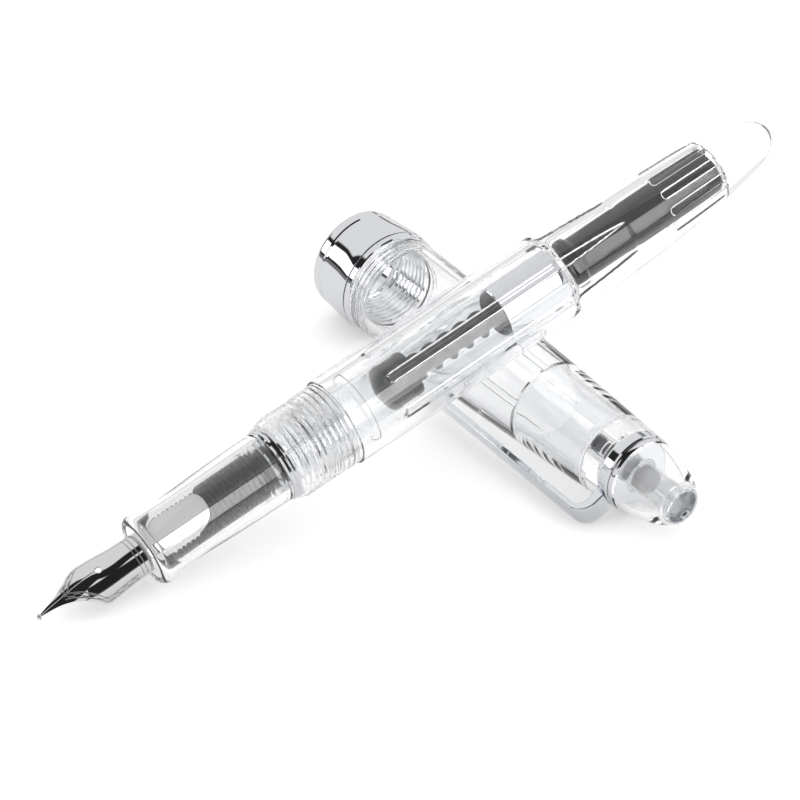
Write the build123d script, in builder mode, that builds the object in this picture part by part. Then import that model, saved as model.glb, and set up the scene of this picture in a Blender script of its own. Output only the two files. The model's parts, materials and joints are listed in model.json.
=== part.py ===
from build123d import *
import os

# A clear cartridge-and-converter fountain pen, uncapped and lying across its own cap.
# +Z is up. The origin is on the table, under the middle of the whole arrangement.
# Stations along the pen are measured from the front lip of the grip, positive to the tail.
# Stations along the cap are measured from the rim of its band, positive to the finial.

# ---- where the two halves lie ----
pen_lip_at = (-32.74, -29.5, 4.977)  # centre of the grip's front lip
pen_azimuth = 36.29              # heading of the pen's tail, from +X towards +Y
pen_pitch = 14.8                 # the pen climbs to its tail by this angle
nib_roll = 18.9                  # the nib's top leans from upright by this angle
cap_rim_at = (-6.77, 36.71, 8.492)    # centre of the cap's open rim
cap_azimuth = -52.22             # heading of the finial
cap_slope = 2.29                 # the cap falls to its finial by this angle
clip_drop = 26.5                 # the clip points out of the cap's side, down by this angle
shift_x = -3.0                   # moves the arrangement so its middle is the origin
shift_y = -0.67

# ---- grip section ----
lip_ring_r = 4.1                 # centre line of the rolled lip
lip_round = 1.0                  # radius of the rolled lip
grip_front_r = 4.75
grip_rear_r = 5.15
grip_end = 20.0
tenon_end = 33.8
tenon_r = 4.55
tenon_thread_r = 4.95
tenon_thread_start = 24.5
tenon_thread_turns = 7
section_bore_r = 3.93
tenon_bore_r = 3.95
feed_seat = 24.6                 # step inside the section between the feed and the converter

# ---- trim ring ----
trim_ring_r = 5.45
trim_ring_start = 20.05
trim_ring_end = 21.3

# ---- barrel ----
barrel_start = 21.35
thread_pitch = 0.85
thread_turns = 6
thread_root_r = 5.82
thread_crest_r = 6.08
thread_end = 27.0
neck_r = 6.08
shoulder = 30.8
shoulder_r = 6.4
belly_r = 6.53
belly = 52.0
rear_quarter = 89.0              # the barrel tapers to its tail from about here
rear_quarter_r = 5.62
tail_end = 108.5
tail_r = 2.5                     # the tail's rounded end starts at this radius
front_bore_r = 5.2
front_bore_end = 34.2
main_bore_r = 5.0
main_bore_end = 68.2
throat_r = 4.2                   # the bore narrows to this behind the converter's collar
throat = 70.0
knob_bore_front_r = 3.8
knob_bore_front = 80.0
knob_bore_r = 3.66
knob_bore_end = 97.4
front_rib_start = 38.6
tail_rib_start = 87.0
front_ribs = 6
tail_ribs = 10
front_rib_phase = 18.0           # angle of the first rib from the pen's top
tail_rib_phase = 18.4
rib_height = 0.3
cap_rib_height = 0.2
tail_rib_height = 0.26
front_rib_width = 1.4
tail_rib_width = 1.25

# ---- nib, feed and housing ----
nib_tip_station = -16.8
nib_tip_height = 1.5             # the point stands this far above the pen's axis
nib_r = 2.87                     # outer radius of the nib's curved body
nib_wing_r = 3.28                # it opens out to this at the shoulders
nib_thickness = 0.3
nib_tail = 9.2
nib_shoulder = -8.3
nib_shoulder_half = 3.5
slit_width = 0.12
breather = -7.6
breather_r = 0.45
pellet_r = 0.42
feed_core_r = 2.5
feed_fin_r = 3.4
fin_pitch = 0.78
fin_gap = 0.38
housing_r = 3.88
housing_bore_r = 3.47
housing_end = 24.5
nipple_r = 1.15
nipple_root = 25.4
nipple_end = 30.5
channel_r = 0.4                  # ink channel through the nipple
feed_plug = 18.5                 # the feed's smooth end starts here
feed_plug_r = 3.0
feed_end = 20.6
fin_start = 1.9
fin_count = 21
fin_top = 0.45                   # the fins stop this far above the axis where the nib covers them

# ---- converter ----
converter_start = 25.0
converter_r = 3.8
converter_bore_r = 3.45
collar_start = 58.2
collar_end = 69.4
collar_r = 3.88
piston_start = 37.9
piston_end = 43.2
piston_r = 3.36
piston_land_r = 3.24
piston_groove_r = 3.14
rod_r = 2.0
rod_core_r = 1.35
rod_thread_r = 0.55
rod_lead = 5.4                   # travel of the piston for one turn of the knob
rod_end = 71.0
knob_start = 72.3
knob_end = 97.1
knob_floor = 94.6                # end of the hole that takes the rod
knob_r = 3.3
knob_sleeve_r = 2.24             # the knob's sleeve turns inside the neck
knob_flutes = 12
flute_width = 0.5
flute_start = 74.3
flute_end = 94.1
nut_start = 62.2
nut_end = 69.3
nut_r = 3.42
neck_end = 72.1

# ---- cap ----
cap_r_band = 8.05
cap_mid = 37.4
cap_r_mid = 6.99
cap_upper = 50.0
cap_r_upper = 6.39
band_peak = 7.4
band_r = 8.2
rim_start = -0.5
rim_r = 7.75
rim_end = 1.7
band_end = 7.8
band_ring_end = 9.0
band_seat_r = 7.0
mouth_bore_r = 6.3
mouth_depth = 3.3
cap_thread_turns = 9
cap_thread_r = 6.55
cap_bore_r = 6.3
step_station = 44.2
upper_bore_r = 5.75
upper_bore_end = 58.2
cap_ribs = 6
cap_rib_start = 35.6
cap_rib_phase = 10.0
cap_rib_width = 1.0
inner_cap_r = 5.7
inner_cap_bore_r = 5.2
clip_ring_start = 61.6
clip_ring_end = 63.3
clip_ring_r = 5.7
stem_r = 2.5                     # spacer under the finial
stem_start = 59.7
stem_hole_r = 2.6
washer_end = 64.2
finial_end = 72.4
nose_r = 2.55
nose_hole_r = 2.4
nose_hole_end = 68.6
post_r = 1.98
post_end = 70.6
screw_head_r = 1.75
screw_head_end = 65.9
finial_base_r = 5.45
finial_bore_r = 4.7
screw_r = 1.22
screw_start = 58.25
screw_pitch = 0.7
screw_turns = 7
clip_gap = 9.2                   # inside face of the clip arm, from the cap's axis
clip_thickness = 0.9
clip_width = 3.4
clip_end = 29.2
clip_lean = 0.5                  # the arm comes this much nearer the cap at its free end
clip_bend_r = 2.6
clip_root = 5.77                 # the clip is welded to its ring's rim here
ball_r = 1.15
ball_height = 8.52

# ---- frames of the two halves ----
shift = Vector(shift_x, shift_y, 0)
across = Axis((0, 0, 0), (0, 1, 0))
cap_dir = Vector(1, 0, 0).rotate(across, cap_slope).rotate(Axis.Z, cap_azimuth)
cap_flat = Vector(0, -1, 0).rotate(Axis.Z, cap_azimuth)
clip_out = cap_flat.rotate(Axis((0, 0, 0), cap_dir), clip_drop)
cap_frame = Plane(origin=Vector(*cap_rim_at) + shift, x_dir=cap_dir, z_dir=cap_dir.cross(clip_out))
cap_axis = Axis(cap_frame.origin, cap_dir)

pen_dir = Vector(1, 0, 0).rotate(across, -pen_pitch).rotate(Axis.Z, pen_azimuth)
pen_upright = Vector(0, 0, 1).rotate(across, -pen_pitch).rotate(Axis.Z, pen_azimuth)
pen_top = pen_upright.rotate(Axis((0, 0, 0), pen_dir), nib_roll)
pen_frame = Plane(origin=Vector(*pen_lip_at) + shift, x_dir=pen_dir, z_dir=pen_dir.cross(pen_top))
pen_axis = Axis(pen_frame.origin, pen_dir)


def cross_plane(frame, station):
    """Plane square to a frame's axis at a station; its local y is the frame's top."""
    return Plane(origin=frame.from_local_coords((station, 0, 0)), x_dir=-frame.z_dir, z_dir=frame.x_dir)


def radial_plane(frame, angle, station, radius):
    """Plane facing out from a frame's axis; local x runs along the axis."""
    out = frame.y_dir.rotate(Axis((0, 0, 0), frame.x_dir), angle)
    start = frame.from_local_coords((station, 0, 0)) + out * radius
    return Plane(origin=start, x_dir=frame.x_dir, z_dir=out)


def ridges(start, count, pitch, root, crest):
    """Outline points of thread ridges, from the first root to the last."""
    points = []
    for i in range(count):
        foot = start + i * pitch
        points += [(foot, root), (foot + 0.35 * pitch, crest), (foot + 0.6 * pitch, crest)]
    points.append((start + count * pitch, root))
    return points


def add_ribs(frame, count, phase, start, end, radius, width, height, embed):
    """Ribs along a bore, each with a rounded front end, standing in from the wall."""
    for i in range(count):
        with BuildSketch(radial_plane(frame, phase + i * 360 / count, start, radius - height)) as rib:
            with Locations(((end - start) / 2 + width / 4, 0)):
                Rectangle(end - start - width / 2, width)
            with Locations((width / 2, 0)):
                Circle(width / 2)
        extrude(rib.sketch, amount=height + embed)


def seal_ring(start):
    """Rounded sealing ring standing proud of the piston."""
    with BuildSketch(pen_frame) as ring:
        with Locations((start + 0.25, piston_r - 0.1)):
            RectangleRounded(0.5, 0.18, 0.08)
    revolve(ring.sketch, axis=pen_axis)


# ---- cap ----
with BuildPart() as cap_body:
    thread = ridges(mouth_depth + 1, cap_thread_turns, thread_pitch, cap_bore_r, cap_thread_r)
    with BuildSketch(cap_frame):
        with BuildLine():
            Polyline((rim_end + 0.2, mouth_bore_r), (rim_end + 0.2, band_seat_r),
                     (band_ring_end, band_seat_r),
                     (band_ring_end, cap_r_band))
            Spline((band_ring_end, cap_r_band), (cap_mid, cap_r_mid), (cap_upper, cap_r_upper),
                   (clip_ring_start, clip_ring_r))
            Polyline((clip_ring_start, clip_ring_r), (clip_ring_start, stem_hole_r),
                     (stem_start - 0.1, stem_hole_r), (stem_start - 0.1, screw_r + 0.02),
                     (upper_bore_end, screw_r + 0.02), (upper_bore_end, upper_bore_r),
                     (step_station, upper_bore_r), (step_station, cap_bore_r), *reversed(thread),
                     (rim_end + 0.2, mouth_bore_r))
        make_face()
    revolve(axis=cap_axis)
    add_ribs(cap_frame, cap_ribs, cap_rib_phase, cap_rib_start, step_station, cap_bore_r,
             cap_rib_width, cap_rib_height, 0.15)
cap_body.part.label = "cap_body"

with BuildPart() as cap_band:
    with BuildSketch(cap_frame):
        with BuildLine():
            Polyline((rim_end + 0.2, band_seat_r), (rim_end + 0.2, mouth_bore_r),
                     (rim_start + 0.4, mouth_bore_r),
                     (rim_start, mouth_bore_r + 0.4), (rim_start, rim_r - 1.0))
            RadiusArc((rim_start, rim_r - 1.0), (rim_start + 1.0, rim_r), 1.0)
            Line((rim_start + 1.0, rim_r), (rim_end - 0.2, rim_r + 0.05))
            Polyline((rim_end - 0.2, rim_r + 0.05), (rim_end, rim_r - 0.1), (rim_end + 0.3, rim_r - 0.1),
                     (rim_end + 0.5, rim_r + 0.12))
            Spline((rim_end + 0.5, rim_r + 0.12), (4.6, band_r - 0.12), (band_peak, band_r),
                   (band_end, band_r - 0.02))
            Polyline((band_end, band_r - 0.02), (band_end, band_seat_r), (rim_end + 0.2, band_seat_r))
        make_face()
    revolve(axis=cap_axis)
cap_band.part.label = "cap_band"

with BuildPart() as cap_band_ring:
    with BuildSketch(cap_frame):
        with BuildLine():
            Polyline((band_end + 0.1, band_seat_r), (band_end + 0.1, band_r - 0.15),
                     (band_end + 0.25, band_r - 0.04),
                     (band_ring_end - 0.2, band_r - 0.1), (band_ring_end, band_r - 0.25),
                     (band_ring_end, band_seat_r), close=True)
        make_face()
    revolve(axis=cap_axis)
cap_band_ring.part.label = "cap_band_ring"

with BuildPart() as inner_cap:
    with BuildSketch(cap_frame):
        with BuildLine():
            Polyline((step_station + 0.1, inner_cap_bore_r + 0.2), (step_station + 0.1, inner_cap_r),
                     (upper_bore_end - 0.05, inner_cap_r), (upper_bore_end - 0.05, 0),
                     (upper_bore_end - 1.0, 0), (upper_bore_end - 1.0, inner_cap_bore_r - 0.6),
                     (upper_bore_end - 1.6, inner_cap_bore_r), (step_station + 0.3, inner_cap_bore_r),
                     close=True)
        make_face()
    revolve(axis=cap_axis)
inner_cap.part.label = "inner_cap"

with BuildPart() as clip_ring:
    with BuildSketch(cap_frame):
        with BuildLine():
            Polyline((clip_ring_start + 0.05, stem_hole_r), (clip_ring_start + 0.05, clip_ring_r - 0.15),
                     (clip_ring_start + 0.2, clip_ring_r), (clip_ring_end - 0.2, clip_ring_r),
                     (clip_ring_end, clip_ring_r - 0.2), (clip_ring_end, stem_hole_r), close=True)
        make_face()
    revolve(axis=cap_axis)
clip_ring.part.label = "clip_ring"

with BuildPart() as clip_arm:
    arm_top = clip_gap + clip_thickness
    free_low = clip_gap - clip_lean
    with BuildSketch(cap_frame):
        with BuildLine():
            Polyline((clip_ring_end, clip_root), (clip_ring_end, arm_top),
                     (clip_end, free_low + clip_thickness),
                     (clip_end, free_low), (clip_ring_end - clip_thickness, clip_gap),
                     (clip_ring_start + 0.1, clip_root + 0.8), (clip_ring_start + 0.1, clip_root),
                     close=True)
        make_face()
        fillet(vertices().sort_by_distance((clip_ring_end, arm_top))[0], clip_bend_r)
        inner_bend = vertices().sort_by_distance((clip_ring_end - clip_thickness, clip_gap))[0]
        fillet(inner_bend, clip_bend_r - clip_thickness)
    extrude(amount=clip_width / 2, both=True)
    fillet(clip_arm.edges().filter_by(lambda e: e.length > 20), 0.2)
    with BuildSketch(cap_frame):
        with BuildLine():
            CenterArc((clip_end + ball_r, ball_height), ball_r, 180, 180)
            Line((clip_end + 2 * ball_r, ball_height), (clip_end, ball_height))
        make_face()
    revolve(axis=Axis(cap_frame.from_local_coords((clip_end + ball_r, ball_height, 0)), cap_frame.x_dir))
clip_arm.part.label = "clip_arm"

with BuildPart() as finial_washer:
    with BuildSketch(cap_frame):
        with BuildLine():
            Polyline((clip_ring_end + 0.03, stem_hole_r), (clip_ring_end + 0.03, clip_ring_r - 0.3),
                     (clip_ring_end + 0.35, clip_ring_r - 0.12), (washer_end - 0.25, clip_ring_r - 0.16),
                     (washer_end, clip_ring_r - 0.3), (washer_end, stem_hole_r), close=True)
        make_face()
    revolve(axis=cap_axis)
finial_washer.part.label = "finial_washer"

with BuildPart() as finial_shell:
    base = washer_end + 0.03
    with BuildSketch(cap_frame):
        with BuildLine():
            Spline((base, finial_base_r), (65.9, 5.24), (67.5, 4.85), (70.0, 4.08),
                   (71.3, 3.4), (finial_end, nose_r))
            Polyline((finial_end, nose_r), (finial_end, nose_hole_r), (nose_hole_end, 2.1),
                     (nose_hole_end, 0),
                     (screw_head_end + 0.05, 0), (screw_head_end + 0.05, screw_head_r + 0.03),
                     (base, screw_head_r + 0.03), (base, post_r), (post_end, 2.5), (post_end, 2.85),
                     (68.5, 3.7), (66.0, 4.4), (base, finial_bore_r), (base, finial_base_r))
        make_face()
    revolve(axis=cap_axis)
finial_shell.part.label = "finial_shell"

with BuildPart() as finial_stem:
    with BuildSketch(cap_frame):
        with BuildLine():
            Polyline((stem_start, screw_r + 0.02), (stem_start, stem_r), (washer_end, stem_r),
                     (washer_end, screw_r + 0.02), close=True)
        make_face()
    revolve(axis=cap_axis)
finial_stem.part.label = "finial_stem"

with BuildPart() as finial_screw:
    screw = ridges(screw_start + 0.75, screw_turns, screw_pitch, screw_r - 0.2, screw_r)
    with BuildSketch(cap_frame):
        with BuildLine():
            Polyline((screw_start, 0), (screw_start, screw_r - 0.2),
                     *screw, (washer_end + 0.15, screw_r - 0.2),
                     (washer_end + 0.15, screw_head_r),
                     (screw_head_end, screw_head_r), (screw_head_end, 0), close=True)
        make_face()
    revolve(axis=cap_axis)
finial_screw.part.label = "finial_screw"

# ---- grip section ----
with BuildPart() as grip_section:
    tenon_thread = ridges(tenon_thread_start, tenon_thread_turns, thread_pitch, tenon_r, tenon_thread_r)
    with BuildSketch(pen_frame):
        with BuildLine():
            Line((0.3, section_bore_r), (-lip_round, lip_ring_r + 0.3))
            RadiusArc((-lip_round, lip_ring_r + 0.3), (0, lip_ring_r + lip_round), lip_round)
            Spline((0, lip_ring_r + lip_round), (1.4, grip_front_r + 0.2), (3.2, grip_front_r + 0.03),
                   (9, 4.86),
                   (grip_end, grip_rear_r), tangents=((1, 0), (1, 0.025)))
            Polyline((grip_end, grip_rear_r), (grip_end, tenon_r),
                     *tenon_thread, (tenon_end - 0.4, tenon_r),
                     (tenon_end, tenon_r - 0.3), (tenon_end, tenon_bore_r), (feed_seat + 0.2, tenon_bore_r),
                     (feed_seat + 0.2, 1.6), (feed_seat, 1.6), (feed_seat, section_bore_r),
                     (0.3, section_bore_r))
        make_face()
    revolve(axis=pen_axis)
grip_section.part.label = "grip_section"

with BuildPart() as trim_ring:
    with BuildSketch(pen_frame):
        with BuildLine():
            Polyline((trim_ring_start, tenon_r + 0.1), (trim_ring_start, trim_ring_r - 0.25),
                     (trim_ring_start + 0.2, trim_ring_r - 0.05), (20.6, trim_ring_r),
                     (20.75, trim_ring_r - 0.12),
                     (20.9, trim_ring_r + 0.05), (trim_ring_end - 0.15, trim_ring_r + 0.05),
                     (trim_ring_end, trim_ring_r - 0.15), (trim_ring_end, tenon_r + 0.1), close=True)
        make_face()
    revolve(axis=pen_axis)
trim_ring.part.label = "trim_ring"

# ---- barrel ----
with BuildPart() as barrel:
    cap_thread = ridges(barrel_start + 0.5, thread_turns, thread_pitch, thread_root_r, thread_crest_r)
    inner_crest_r = tenon_thread_r + 0.06
    inner_turns = tenon_thread_turns + 1
    female = ridges(tenon_thread_start, inner_turns, thread_pitch, inner_crest_r, front_bore_r)
    female_end = tenon_thread_start + (inner_turns + 0.6) * thread_pitch
    with BuildSketch(pen_frame):
        with BuildLine():
            Polyline((barrel_start, inner_crest_r), (barrel_start, thread_root_r - 0.2),
                     (barrel_start + 0.2, thread_root_r), *cap_thread, (thread_end + 0.2, neck_r),
                     (shoulder - 0.25, neck_r), (shoulder, neck_r + 0.1), (shoulder, shoulder_r - 0.1),
                     (shoulder + 0.1, shoulder_r))
            Spline((shoulder + 0.1, shoulder_r), (belly, belly_r), (72, 6.34),
                   (rear_quarter, rear_quarter_r),
                   (97.2, 4.75), (103, 3.82), (tail_end - 1.6, tail_r), (tail_end, 0),
                   tangents=((1, 0.015), (0, -1)))
            Polyline((tail_end, 0), (knob_bore_end, 0), (knob_bore_end, knob_bore_r - 0.4),
                     (knob_bore_end - 0.4, knob_bore_r), (knob_bore_front, knob_bore_front_r),
                     (throat, throat_r), (main_bore_end, main_bore_r - 0.3),
                     (main_bore_end - 0.3, main_bore_r), (front_bore_end, main_bore_r),
                     (front_bore_end, front_bore_r), (female_end, front_bore_r), *reversed(female),
                     (barrel_start, inner_crest_r))
        make_face()
    revolve(axis=pen_axis)
    add_ribs(pen_frame, front_ribs, front_rib_phase, front_rib_start, main_bore_end + 0.1, main_bore_r,
             front_rib_width, rib_height, 0.4)
    add_ribs(pen_frame, tail_ribs, tail_rib_phase, tail_rib_start, knob_bore_end + 0.1, knob_bore_r,
             tail_rib_width, tail_rib_height, 0.3)
barrel.part.label = "barrel"

# ---- nib unit ----
with BuildPart() as nib:
    crest = [(nib_tail, nib_r), (-1, nib_r), (-5, 3.0), (-8.6, nib_wing_r), (-10.2, 3.2), (-12.5, 2.68),
             (nib_tip_station, nib_tip_height)]
    inside = [(station, height - nib_thickness) for station, height in reversed(crest)]
    with BuildSketch(pen_frame):
        with BuildLine():
            Spline(*crest)
            Line(crest[-1], inside[0])
            Spline(*inside)
            Line(inside[-1], crest[0])
        make_face()
    revolve(axis=pen_axis)
    plan = Plane(origin=pen_frame.from_local_coords((0, 0.55, 0)),
                 x_dir=pen_frame.x_dir, z_dir=pen_frame.y_dir)
    with BuildSketch(plan):
        with BuildLine():
            Line((nib_tip_station, 0.16), (-15.4, 0.4))
            Spline((-15.4, 0.4), (-12.5, 1.42), (-10.0, 2.75), (nib_shoulder, nib_shoulder_half))
            Polyline((nib_shoulder, nib_shoulder_half), (nib_tail - 3.0, nib_shoulder_half),
                     (nib_tail - 3.0, 2.7))
            Spline((nib_tail - 3.0, 2.7), (nib_tail - 0.9, 1.8), (nib_tail, 0), tangents=((1, -0.1),
                                                                                          (0, -1)))
            mirror(about=Plane.XZ)
            Line((nib_tip_station, 0.16), (nib_tip_station, -0.16))
        make_face()
    extrude(amount=nib_wing_r, mode=Mode.INTERSECT)
    with BuildSketch(plan):
        with Locations(((nib_tip_station + breather) / 2 - 0.5, 0)):
            Rectangle(breather - nib_tip_station + 1, slit_width)
        with Locations((breather, 0)):
            Circle(breather_r)
    extrude(amount=nib_wing_r, mode=Mode.SUBTRACT)
nib.part.label = "nib"

tip_centre = pen_frame.from_local_coords((nib_tip_station - 0.1, nib_tip_height - 0.2, 0))
with BuildPart() as nib_tip_right:
    with BuildSketch(Plane(origin=tip_centre, x_dir=pen_frame.x_dir, z_dir=pen_frame.z_dir)):
        with BuildLine():
            CenterArc((0, 0), pellet_r, 90, 90)
            Polyline((-pellet_r, 0), (0, 0), (0, pellet_r))
        make_face()
    revolve(axis=Axis(tip_centre, pen_dir))
    with BuildSketch(Plane(origin=tip_centre, x_dir=pen_frame.x_dir, z_dir=pen_frame.y_dir)):
        with Locations((0, -pellet_r + 0.04)):
            Rectangle(4 * pellet_r, 2 * pellet_r)
    extrude(amount=2 * pellet_r, both=True, mode=Mode.SUBTRACT)
nib_tip_right.part.label = "nib_tip_right"

with BuildPart() as nib_tip_left:
    add(nib_tip_right.part)
    mirror(about=Plane(origin=pen_frame.origin, z_dir=pen_frame.z_dir), mode=Mode.REPLACE)
nib_tip_left.part.label = "nib_tip_left"

with BuildPart() as feed:
    with BuildSketch(pen_frame):
        with BuildLine():
            Polyline((-8.2, 0), (-8.2, 0.5), (-3, 2.0), (0, feed_core_r), (nib_tail + 0.3, feed_core_r),
                     (nib_tail + 0.3, 3.3), (10.2, 3.3), (10.2, feed_core_r), (feed_plug, feed_core_r),
                     (feed_plug, feed_plug_r), (feed_end, feed_plug_r), (feed_end, 0), close=True)
        make_face()
    revolve(axis=pen_axis)
    for i in range(fin_count):
        station = fin_start + i * fin_pitch
        with BuildSketch(cross_plane(pen_frame, station)):
            Circle(feed_fin_r)
            if station < nib_tail:
                with Locations((0, feed_fin_r)):
                    Rectangle(4 * feed_fin_r, 2 * feed_fin_r - 2 * fin_top, mode=Mode.SUBTRACT)
        extrude(amount=fin_pitch - fin_gap)
feed.part.label = "feed"

with BuildPart() as nib_housing:
    with BuildSketch(pen_frame):
        with BuildLine():
            Polyline((0.4, housing_bore_r + 0.15), (0.4, housing_r - 0.1), (0.6, housing_r),
                     (housing_end, housing_r),
                     (housing_end, nipple_r + 0.3), (nipple_root, nipple_r),
                     (nipple_end - 0.3, nipple_r - 0.1),
                     (nipple_end, nipple_r - 0.4), (nipple_end, channel_r), (feed_end + 0.1, channel_r),
                     (feed_end + 0.1, feed_plug_r + 0.05), (19.4, feed_plug_r + 0.05),
                     (19.0, housing_bore_r), (0.7, housing_bore_r), close=True)
        make_face()
    revolve(axis=pen_axis)
nib_housing.part.label = "nib_housing"

# ---- converter ----
with BuildPart() as converter_tube:
    with BuildSketch(pen_frame):
        with BuildLine():
            Polyline((converter_start, nipple_r + 0.2), (converter_start, converter_r - 0.5),
                     (converter_start + 0.8, converter_r), (collar_start - 0.02, converter_r),
                     (collar_start - 0.02, 3.6), (collar_start + 3.0, 3.6),
                     (collar_start + 3.0, converter_bore_r),
                     (converter_start + 5.8, converter_bore_r), (converter_start + 5.6, nipple_r + 0.02),
                     (converter_start + 0.4, nipple_r + 0.02), close=True)
        make_face()
    revolve(axis=pen_axis)
converter_tube.part.label = "converter_tube"

with BuildPart() as converter_collar:
    with BuildSketch(pen_frame):
        with BuildLine():
            Polyline((collar_start, 3.62), (collar_start, collar_r - 0.1), (collar_start + 0.12, collar_r),
                     (collar_end - 0.12, collar_r), (collar_end, collar_r - 0.1), (collar_end, 3.45),
                     (collar_start + 3.1, 3.45), (collar_start + 3.1, 3.62), close=True)
        make_face()
    revolve(axis=pen_axis)
converter_collar.part.label = "converter_collar"

with BuildPart() as piston_head:
    with BuildSketch(pen_frame):
        with BuildLine():
            Polyline((piston_start, 0), (piston_start, 1.0), (piston_start + 0.9, piston_land_r),
                     (piston_start + 1.15, piston_land_r), (piston_start + 1.15, piston_groove_r),
                     (piston_start + 1.75, piston_groove_r), (piston_start + 1.75, piston_land_r),
                     (piston_end - 1.5, piston_land_r), (piston_end - 1.5, 2.6), (piston_end - 1.1, 2.6),
                     (piston_end - 1.1, piston_groove_r), (piston_end - 0.25, piston_groove_r),
                     (piston_end - 0.25, piston_land_r), (piston_end, piston_land_r), (piston_end, 0),
                     close=True)
        make_face()
    revolve(axis=pen_axis)
piston_head.part.label = "piston_head"

with BuildPart() as piston_seal_front:
    seal_ring(piston_start + 1.2)
piston_seal_front.part.label = "piston_seal_front"

with BuildPart() as piston_seal_rear:
    seal_ring(piston_end - 0.8)
piston_seal_rear.part.label = "piston_seal_rear"

with BuildPart() as piston_rod:
    with BuildSketch(cross_plane(pen_frame, piston_end + 0.02)):
        Circle(rod_core_r)
    extrude(amount=rod_end - piston_end)
    with BuildLine():
        rod_path = Helix(rod_lead, rod_end - piston_end - 1.6, rod_core_r + 0.1,
                         center=pen_frame.from_local_coords((piston_end + 0.8, 0, 0)), direction=pen_dir)
    with BuildSketch(Plane(origin=rod_path @ 0, z_dir=rod_path % 0)):
        Circle(rod_thread_r)
    sweep(path=rod_path, is_frenet=True)
    add(piston_rod.part.rotate(pen_axis, 180))
piston_rod.part.label = "piston_rod"

with BuildPart() as piston_nut:
    with BuildSketch(pen_frame):
        with BuildLine():
            Polyline((nut_start, rod_r + 0.05), (nut_start, nut_r - 0.3), (nut_start + 0.4, nut_r),
                     (nut_end, nut_r),
                     (nut_end, rod_r + 0.05), close=True)
        make_face()
    revolve(axis=pen_axis)
piston_nut.part.label = "piston_nut"

with BuildPart() as converter_neck:
    with BuildSketch(pen_frame):
        with BuildLine():
            Polyline((collar_end + 0.05, 2.3), (collar_end + 0.05, 3.55), (70.2, 3.55), (70.35, 3.82),
                     (70.75, 3.82),
                     (70.9, 3.6), (71.1, 3.6), (71.25, 3.82), (71.65, 3.8), (neck_end, knob_r + 0.15),
                     (knob_start, knob_r + 0.05), (knob_start, 2.3), close=True)
        make_face()
    revolve(axis=pen_axis)
converter_neck.part.label = "converter_neck"

with BuildPart() as converter_knob:
    with BuildSketch(pen_frame):
        with BuildLine():
            Polyline((nut_end + 0.05, rod_r + 0.06), (nut_end + 0.05, knob_sleeve_r),
                     (knob_start + 0.05, knob_sleeve_r),
                     (knob_start + 0.05, knob_r - 0.15), (knob_start + 0.2, knob_r),
                     (knob_end - 1.2, knob_r - 0.05))
            RadiusArc((knob_end - 1.2, knob_r - 0.05), (knob_end, knob_r - 1.25), 1.2)
            Polyline((knob_end, knob_r - 1.25), (knob_end, 1.2), (knob_end - 0.6, 0.9), (knob_end - 0.6, 0),
                     (knob_floor, 0), (knob_floor, rod_r + 0.06), (nut_end + 0.05, rod_r + 0.06))
        make_face()
    revolve(axis=pen_axis)
    for i in range(knob_flutes):
        with BuildSketch(radial_plane(pen_frame, i * 360 / knob_flutes, flute_start, knob_r - 0.12)):
            with Locations(((flute_end - flute_start) / 2, 0)):
                SlotOverall(flute_end - flute_start, flute_width)
        extrude(amount=1, mode=Mode.SUBTRACT)
converter_knob.part.label = "converter_knob"

# ---- write the parts ----
os.makedirs("parts", exist_ok=True)
pieces = (cap_body, cap_band, cap_band_ring, inner_cap, clip_ring, clip_arm, finial_washer, finial_shell,
          finial_stem, finial_screw, grip_section, trim_ring, barrel, nib, nib_tip_left, nib_tip_right,
          feed,
          nib_housing, converter_tube, converter_collar, piston_head, piston_seal_front, piston_seal_rear,
          piston_rod, piston_nut, converter_neck, converter_knob)
for piece in pieces:
    export_step(piece.part, f"parts/{piece.part.label}.step")
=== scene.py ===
import json
import math

import bpy
import numpy as np
from mathutils import Matrix, Vector


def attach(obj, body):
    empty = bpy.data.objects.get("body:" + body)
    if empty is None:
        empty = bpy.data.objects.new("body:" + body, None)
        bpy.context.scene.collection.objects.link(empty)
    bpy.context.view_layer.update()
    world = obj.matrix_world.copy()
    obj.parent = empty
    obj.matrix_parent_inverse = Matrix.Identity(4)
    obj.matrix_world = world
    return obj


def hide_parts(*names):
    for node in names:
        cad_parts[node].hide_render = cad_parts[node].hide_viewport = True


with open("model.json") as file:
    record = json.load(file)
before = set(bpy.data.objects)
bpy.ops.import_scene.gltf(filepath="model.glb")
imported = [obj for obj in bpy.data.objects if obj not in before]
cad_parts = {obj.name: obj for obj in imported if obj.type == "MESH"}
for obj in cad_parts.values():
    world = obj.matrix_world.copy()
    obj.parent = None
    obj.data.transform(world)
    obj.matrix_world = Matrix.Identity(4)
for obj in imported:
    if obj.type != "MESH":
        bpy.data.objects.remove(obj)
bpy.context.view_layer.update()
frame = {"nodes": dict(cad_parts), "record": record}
record = frame["record"]

MM = 0.001
SEGMENTS = 360


# ---------------------------------------------------------------- frames
def joint(name):
    return next(j for j in record["behaviour"]["joints"] if j["name"] == name)


def mount(name):
    return next(m for m in record["mounts"] if m["name"] == name)


class Axis:
    """An axis of the object: station along it, then radius and angle about it, with 0 at the top."""

    def __init__(self, point, along, station, top):
        self.x = Vector(along).normalized()
        self.origin = Vector(point) - self.x * station * MM
        self.y = (Vector(top) - self.x * Vector(top).dot(self.x)).normalized()
        self.z = self.x.cross(self.y)

    def grid(self, stations, radii, angles):
        """Vertices for matching arrays of stations, radii (mm) and angles (radians)."""
        o, x, y, z = (np.array(v) for v in (self.origin, self.x, self.y, self.z))
        along = stations[..., None] * x
        out = (radii * np.cos(angles))[..., None] * y + (radii * np.sin(angles))[..., None] * z
        return o + (along + out) * MM


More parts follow.
